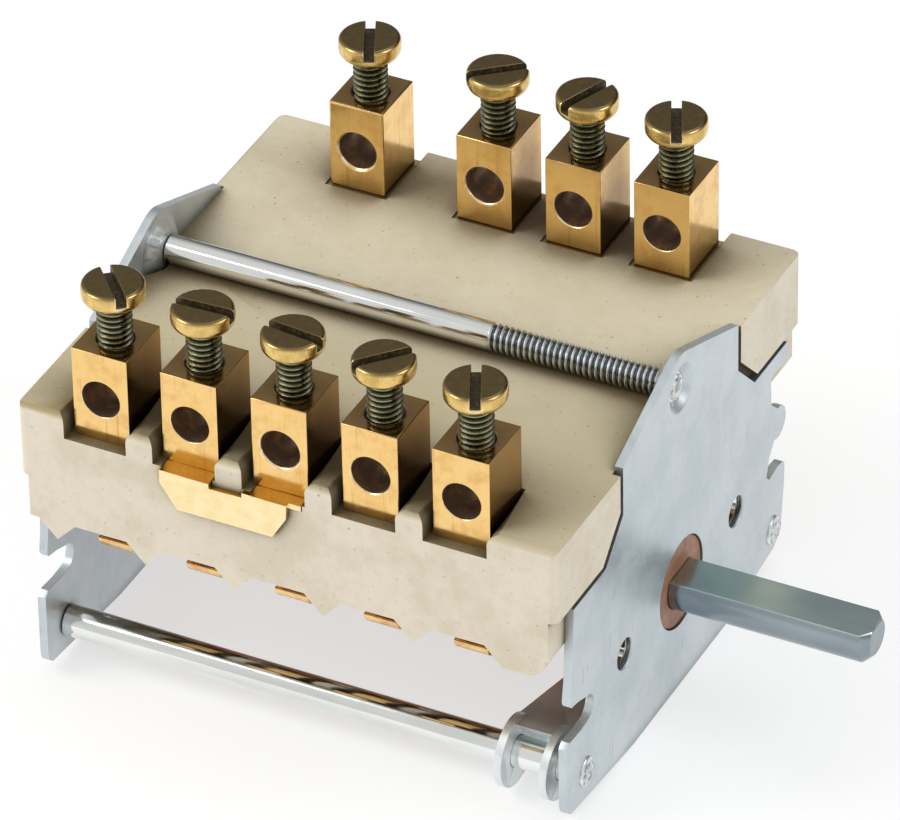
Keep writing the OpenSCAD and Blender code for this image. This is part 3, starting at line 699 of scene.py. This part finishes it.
def tie_rod(node, name, materials, radius, head, set_in=1.0, sink=0.0, thread=0.0):
    """A rod with a riveted end in each plate, and a rolled thread on its front stretch.

    Its shoulders lie set_in mm from the plates' outer faces, and the rivets start sink mm below them.
    """
    rivet_index, thread_index = 1, 2
    rise, neck, step = 0.35, 0.2, 0.02
    tenon = radius - 0.3
    root, pitch = radius - 0.3, 0.7
    runout, runout_r = 0.1, radius - 0.2
    low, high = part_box(node)
    outer = rise - sink
    length = (high.x - low.x) / MM - 2 * outer
    about = along_x(low.x + outer * MM, middle(node).y, middle(node).z)
    shank_end = length - set_in
    bare_end = shank_end - thread
    start = [(sink - rise / 2, tenon), (set_in, tenon), (set_in + step, radius - neck),
             (set_in + neck, radius)]
    finish = [(shank_end - neck, radius), (shank_end - step, radius - neck), (shank_end, tenon),
              (length + rise / 2 - sink, tenon)]
    bm = bmesh.new()
    if thread:
        turned(bm, start + [(bare_end, radius), (bare_end + runout, runout_r)], about=about)
        shank_faces = len(bm.faces)
        helical(bm, radius, root, pitch, bare_end, shank_end - neck, about=about)
        paint_from(bm, shank_faces, thread_index)
        turned(bm, [(shank_end - neck - runout, runout_r)] + finish, about=about)
    else:
        turned(bm, start + finish, about=about)
    rod_faces = len(bm.faces)
    peened(bm, head, rise, about @ Matrix.Translation((0, 0, (length - sink) * MM)))
    peened(bm, head, rise, about @ Matrix.Translation((0, 0, sink * MM)) @ Matrix.Rotation(math.pi, 4, "X"))
    paint_from(bm, rod_faces, rivet_index)
    return stands_for(made(name, bm), node, *materials)


# ---------------------------------------------------------------- screws

SCREW_HEAD_H = 2.4

# The head's outline: height over its underside, and radius, in mm
SCREW_HEAD = [(0.0, 1.7), (0.03, 2.4), (0.15, 2.82), (0.4, 3.18), (0.75, 3.4), (1.1, 3.45), (1.92, 3.45),
              (2.12, 3.41), (2.27, 3.3), (2.36, 3.14), (SCREW_HEAD_H, 2.98)]


def slotted_head(materials, slot_index):
    """The mesh of a screw head about +Z, its underside at 0, with a slot along X and a soft rim."""
    slot_w, slot_d, over, rim_w = 1.1, 1.2, 2, 0.1
    bm = bmesh.new()
    turned(bm, SCREW_HEAD, count=56)
    head = made("screw_head_blank", bm)
    bm = bmesh.new()
    place = Matrix.Translation((0, 0, (SCREW_HEAD_H - slot_d + over / 2) * MM))
    bmesh.ops.create_cube(bm, size=1, matrix=place @ Matrix.Diagonal((9 * MM, slot_w * MM, over * MM, 1)))
    # The slot's faces take the slot material, painted dark as shade.
    paint_from(bm, 0, slot_index)
    cutter = made("screw_slot_cutter", bm)
    for blank in (head, cutter):
        for material in materials:
            blank.data.materials.append(material)
    cut = head.modifiers.new("slot", "BOOLEAN")
    cut.object = cutter
    cut.solver = "EXACT"
    rim = head.modifiers.new("rim", "BEVEL")
    rim.width = rim_w * MM
    rim.segments = 2
    rim.angle_limit = math.radians(50)
    bpy.context.view_layer.update()
    slotted = bpy.data.meshes.new_from_object(head.evaluated_get(bpy.context.evaluated_depsgraph_get()))
    for spare in (head, cutter):
        bpy.data.objects.remove(spare)
    return slotted


def screw_mesh(length, materials):
    """A slotted cheese head screw about +Z, its head from 0 up and its shank length mm down."""
    thread_index, slot_index = 1, 2
    crest, root, pitch = 1.93, 1.53, 0.7
    tip, tip_r, neck = 0.35, root - 0.45, 0.25
    head = slotted_head(materials, slot_index)
    bm = bmesh.new()
    turned(bm, [(-length, tip_r), (tip - length, root), (tip + 0.05 - length, root - 0.02)], count=36)
    helical(bm, crest, root, pitch, tip - length, -neck)
    turned(bm, [(-neck - 0.05, root), (0.05 - neck, root), (0.02, root + 0.25)], count=36)
    paint_from(bm, 0, thread_index)
    bm.from_mesh(head)
    piece = made("screw_pattern", bm)
    mesh = piece.data
    bpy.data.objects.remove(piece)
    for material in materials:
        mesh.materials.append(material)
    return mesh


def clamp_screws(materials):
    """One screw mesh, set at every clamp screw with its slot turned as SLOT_ANGLES says."""
    low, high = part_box("front_screw_1")
    mesh = screw_mesh((high.z - low.z) / MM - SCREW_HEAD_H, materials)
    for row, count in (("front", FRONT_ROW), ("rear", REAR_ROW)):
        for i in count:
            node = f"{row}_screw_{i}"
            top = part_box(node)[1].z
            piece = bpy.data.objects.new(f"{row}_clamp_screw_{i}", mesh)
            bpy.context.scene.collection.objects.link(piece)
            turn = Matrix.Rotation(math.radians(SLOT_ANGLES[row][i - 1]), 4, "Z")
            seat = Vector((middle(node).x, middle(node).y, top - SCREW_HEAD_H * MM))
            piece.matrix_world = Matrix.Translation(seat) @ turn
            piece.modifiers.new("flats", "WEIGHTED_NORMAL").keep_sharp = True
            stands_for(piece, node)


# ---------------------------------------------------------------- detent spring

def detent_coil(material):
    """The tension spring: a hook in the lever's tail, a close coil, and a hook in the plate's slot."""
    wire, coil_r, pitch = 0.4, 1.2, 0.86
    centre_x, rise = -3.25, 9.75
    tail_hook, slot_hook = 4.2, 1.6
    steps = 24
    low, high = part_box("detent_spring")
    tail = Vector((0, low.y + wire * MM, low.z + wire * MM))
    hook = Vector((0, high.y - wire * MM, tail.z + rise * MM))
    span = (hook - tail).length / MM
    ahead = (hook - tail).normalized()
    across = Vector((1, 0, 0))
    up = ahead.cross(across)
    start = tail + across * centre_x * MM
    coil_from, coil_to = tail_hook + wire, span - slot_hook - wire
    turns = round((coil_to - coil_from) / pitch)

    def at(distance, side, lift=0.0):
        return start + (ahead * distance + across * side + up * lift) * MM

    path = [at(0, -0.55), at(0, 0.6), at(0.12, 0.95), at(0.5, 1.12), at(coil_from - 0.6, coil_r)]
    for k in range(turns * steps + 1):
        angle = 2 * math.pi * k / steps
        distance = coil_from + (coil_to - coil_from) * k / (turns * steps)
        path.append(at(distance, coil_r * math.cos(angle), coil_r * math.sin(angle)))
    path += [at(coil_to + 0.7, coil_r), at(span - 0.5, 1.25), at(span - 0.12, 1.45), at(span, 1.8),
             at(span, 3.6)]
    bm = bmesh.new()
    tube(bm, path, wire, 12)
    return stands_for(made("detent_coil_spring", bm), "detent_spring", material)


# ---------------------------------------------------------------- floor, light, camera

def floor(level):
    """A plain white floor at this height."""
    s = Shader("studio_floor", (0.4, 0.4, 0.4), roughness=0.6, specular=0.2)
    s.color(s.mix(s.band(s.noise(60, 2), 0.3, 0.7), (0.41, 0.41, 0.41), (0.39, 0.395, 0.4)))
    s.bsdf.inputs["Emission Color"].default_value = (1, 1, 1, 1)
    s.bsdf.inputs["Emission Strength"].default_value = 0.62
    s.bump(s.noise(0.8, 2), 0.01)
    bm = bmesh.new()
    bmesh.ops.create_grid(bm, x_segments=1, y_segments=1, size=6)
    bmesh.ops.translate(bm, verts=bm.verts, vec=(0, 0, level))
    sheet = made("studio_floor", bm)
    sheet.data.materials.append(s.material)


def softbox(name, azimuth, elevation, distance, size, power, target, color=(1, 1, 1)):
    """A square light that looks at the target. Azimuth 0 is on the -Y side, and 90 on the +X side."""
    light = bpy.data.lights.new(name, "AREA")
    light.shape = "RECTANGLE"
    light.size, light.size_y = size
    light.energy = power
    light.color = color
    lamp = bpy.data.objects.new(name, light)
    bpy.context.scene.collection.objects.link(lamp)
    a, e = math.radians(azimuth), math.radians(elevation)
    away = Vector((math.sin(a) * math.cos(e), -math.cos(a) * math.cos(e), math.sin(e)))
    lamp.location = target + away * distance
    lamp.rotation_euler = away.to_track_quat("Z", "Y").to_euler()


def studio_world():
    """A pale room, bright in front and above on the left and dim behind."""
    world = bpy.data.worlds.new("studio_world")
    world.use_nodes = True
    bpy.context.scene.world = world
    tree = world.node_tree
    background = tree.nodes["Background"]
    direction = tree.nodes.new("ShaderNodeTexCoord")
    facing = tree.nodes.new("ShaderNodeVectorMath")
    facing.operation = "DOT_PRODUCT"
    facing.inputs[1].default_value = Vector((-0.25, -0.75, 0.6)).normalized()
    tree.links.new(direction.outputs["Generated"], facing.inputs[0])
    ramp = tree.nodes.new("ShaderNodeMapRange")
    ramp.interpolation_type = "SMOOTHSTEP"
    for key, number in (("From Min", -0.5), ("From Max", 0.6), ("To Min", 0.12), ("To Max", 0.78)):
        ramp.inputs[key].default_value = number
    tree.links.new(facing.outputs["Value"], ramp.inputs["Value"])
    tree.links.new(ramp.outputs["Result"], background.inputs["Strength"])
    background.inputs["Color"].default_value = (1.0, 0.99, 0.97, 1)


def camera():
    """A long lens at the pictured angle."""
    target = Vector((-28.2, 1.4, 13.2)) * MM
    azimuth, elevation, roll = (math.radians(turn) for turn in (27.07, 35.8, -1.1))
    distance, lens = 919 * MM, 341.3
    away = Vector((math.sin(azimuth) * math.cos(elevation), -math.cos(azimuth) * math.cos(elevation),
                   math.sin(elevation)))
    eye = bpy.data.objects.new("camera", bpy.data.cameras.new("camera"))
    bpy.context.scene.collection.objects.link(eye)
    eye.data.lens = lens
    eye.data.sensor_width = 36
    eye.data.clip_end = 20
    turn = away.to_track_quat("Z", "Y").to_matrix().to_4x4()
    eye.matrix_world = Matrix.Translation(target + away * distance) @ turn @ Matrix.Rotation(roll, 4, "Z")
    bpy.context.scene.camera = eye


def studio():
    """The floor, the room and three soft lights round the part."""
    low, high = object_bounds()
    centre = (Vector(low) + Vector(high)) / 2
    floor(low[2])
    studio_world()
    warm, cool = (1.0, 0.98, 0.95), (0.96, 0.98, 1.0)
    softbox("key", azimuth=-60, elevation=40, distance=0.75, size=(0.36, 0.36), power=2.3, target=centre,
            color=warm)
    softbox("fill", azimuth=98, elevation=38, distance=0.85, size=(0.4, 0.4), power=2.2, target=centre,
            color=cool)
    softbox("back", azimuth=170, elevation=60, distance=0.9, size=(0.5, 0.3), power=0.5, target=centre)
    bpy.context.scene.view_settings.view_transform = "Standard"


# ---------------------------------------------------------------- the switch

def build():
    """Every visible piece of the switch, with its materials."""
    zinc = zinc_sheet()
    tapped = tapped_steel()
    steel = bright_steel()
    rivet = rivet_steel()
    block = (block_brass(), bore_brass(), rim_brass())
    strip = contact_brass()
    contact = silver()
    ceramic_body(steatite())
    end_plate("front_plate", "front_end_plate", zinc, tapped)
    end_plate("rear_plate", "rear_end_plate", zinc, tapped)
    tie_rod("top_tie_rod", "top_rod", (steel, rivet, thread_steel()), radius=1.6, head=1.8, set_in=2.2,
            sink=0.9, thread=20)
    tie_rod("front_tie_rod", "front_rod", (steel, rivet), radius=1.8, head=1.75)
    tie_rod("rear_tie_rod", "rear_rod", (steel, rivet), radius=1.8, head=1.75)
    rounded("jumper_strap", "jumper_bridge", strap_brass(), 0.3)
    rounded("spindle", "d_spindle", spindle_zinc(), 0.35, 4)
    rounded("cam_barrel", "moulded_cam_barrel", phenolic(), 0.2)
    rounded("detent_lever", "folded_lever", lever_steel(), 0.18)
    rounded("roller_pin", "roller_axle", steel, 0.15)
    rounded("detent_roller", "lever_roller", steel, 0.2)
    rounded("fixed_contacts", "fixed_rivets", contact, 0.2)
    detent_coil(spring_steel())
    clamp_screws((head_brass(), thread_brass(), slot_brass()))
    for row, count in (("front", FRONT_ROW), ("rear", REAR_ROW)):
        for i in count:
            terminal(row, i, block)
            rounded(f"{row}_strip_{i}", f"{row}_contact_strip_{i}", strip, 0.08, 2)
    for i in FRONT_ROW:
        rounded(f"contact_arm_{i}", f"spring_arm_{i}", strip, 0.08, 2)
        rounded(f"moving_contact_{i}", f"arm_rivet_{i}", contact, 0.2)


build()
studio()
camera()
